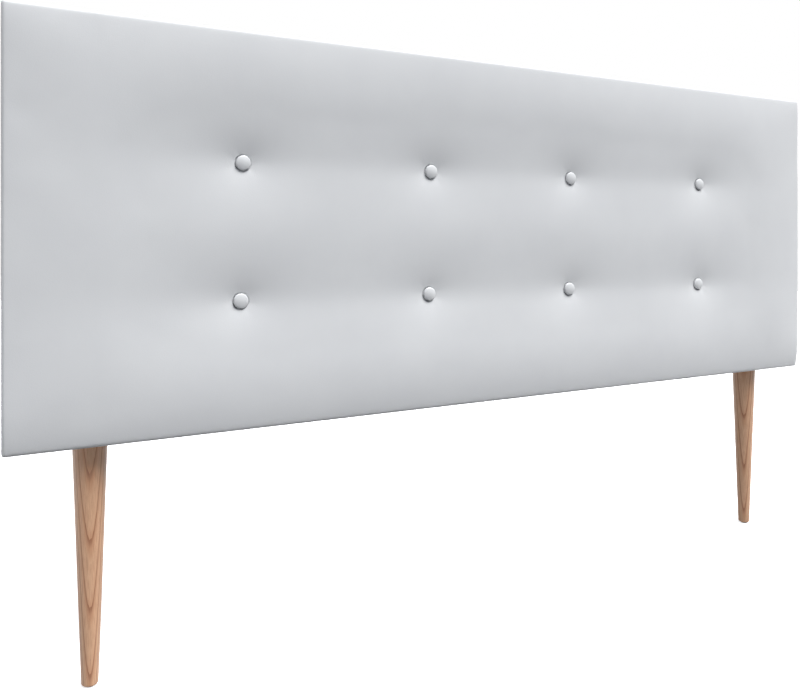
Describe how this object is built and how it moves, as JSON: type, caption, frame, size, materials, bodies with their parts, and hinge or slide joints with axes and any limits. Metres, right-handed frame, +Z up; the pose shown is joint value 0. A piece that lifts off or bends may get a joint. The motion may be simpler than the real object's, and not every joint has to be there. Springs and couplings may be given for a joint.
{
  "type": "headboard",
  "caption": "Wide tufted headboard in faux leather, padded and buttoned in two rows, on two tapered wooden legs that screw in from below.",
  "frame": {"origin": "on the floor, under the middle of the whole object's box", "axes": "+X to the viewer's right along the panel, +Y from the padded front to the back, +Z up"},
  "size_m": [1.6, 0.0816, 0.95],
  "materials": {
    "faux_leather": "satin",
    "foam": "matt",
    "pine": "matt",
    "hardboard": "matt",
    "leg_wood": "satin",
    "zinc_steel": "satin",
    "dust_cloth": "matt",
    "twine": "matt",
    "anchor_plastic": "matt",
    "glide_plastic": "matt"
  },
  "bodies": {
    "panel": {"cover": "faux_leather", "foam_pad": "foam", "front_board": "hardboard", "top_rail": "pine", "bottom_rail": "pine", "left_end_stile": "pine", "left_inner_stile": "pine", "centre_stile": "pine", "right_inner_stile": "pine", "right_end_stile": "pine", "frame_screws": "zinc_steel", "board_staples": "zinc_steel", "cover_staples": "zinc_steel", "dust_cover": "dust_cloth", "dust_cover_staples": "zinc_steel", "upper_button_1": "faux_leather", "upper_button_2": "faux_leather", "upper_button_3": "faux_leather", "upper_button_4": "faux_leather", "lower_button_1": "faux_leather", "lower_button_2": "faux_leather", "lower_button_3": "faux_leather", "lower_button_4": "faux_leather", "button_backs": "zinc_steel", "tufting_twines": "twine", "twine_anchors": "anchor_plastic", "left_tee_nut": "zinc_steel", "right_tee_nut": "zinc_steel"},
    "left_hanger_bolt": {"left_hanger_bolt": "zinc_steel"},
    "left_leg": {"left_leg": "leg_wood", "left_glide": "glide_plastic", "left_glide_nail": "zinc_steel"},
    "right_hanger_bolt": {"right_hanger_bolt": "zinc_steel"},
    "right_leg": {"right_leg": "leg_wood", "right_glide": "glide_plastic", "right_glide_nail": "zinc_steel"}
  },
  "joints": [
    {"name": "left_leg_travel", "type": "slide", "parent": "panel", "child": "left_hanger_bolt", "axis": [0, 0, -1], "range_m": [0, 0.015]},
    {"name": "left_leg_turn", "type": "hinge", "parent": "left_hanger_bolt", "child": "left_leg", "pos_m": [-0.687, 0.0167, 0.35], "axis": [0, 0, -1], "range_deg": [0, 4320]},
    {"name": "right_leg_travel", "type": "slide", "parent": "panel", "child": "right_hanger_bolt", "axis": [0, 0, -1], "range_m": [0, 0.015]},
    {"name": "right_leg_turn", "type": "hinge", "parent": "right_hanger_bolt", "child": "right_leg", "pos_m": [0.687, 0.0167, 0.35], "axis": [0, 0, -1], "range_deg": [0, 4320]}
  ],
  "couplings": [
    {"joint": "left_leg_turn", "follows": "left_leg_travel", "rad_per_m": 5026.5},
    {"joint": "right_leg_turn", "follows": "right_leg_travel", "rad_per_m": 5026.5}
  ]
}
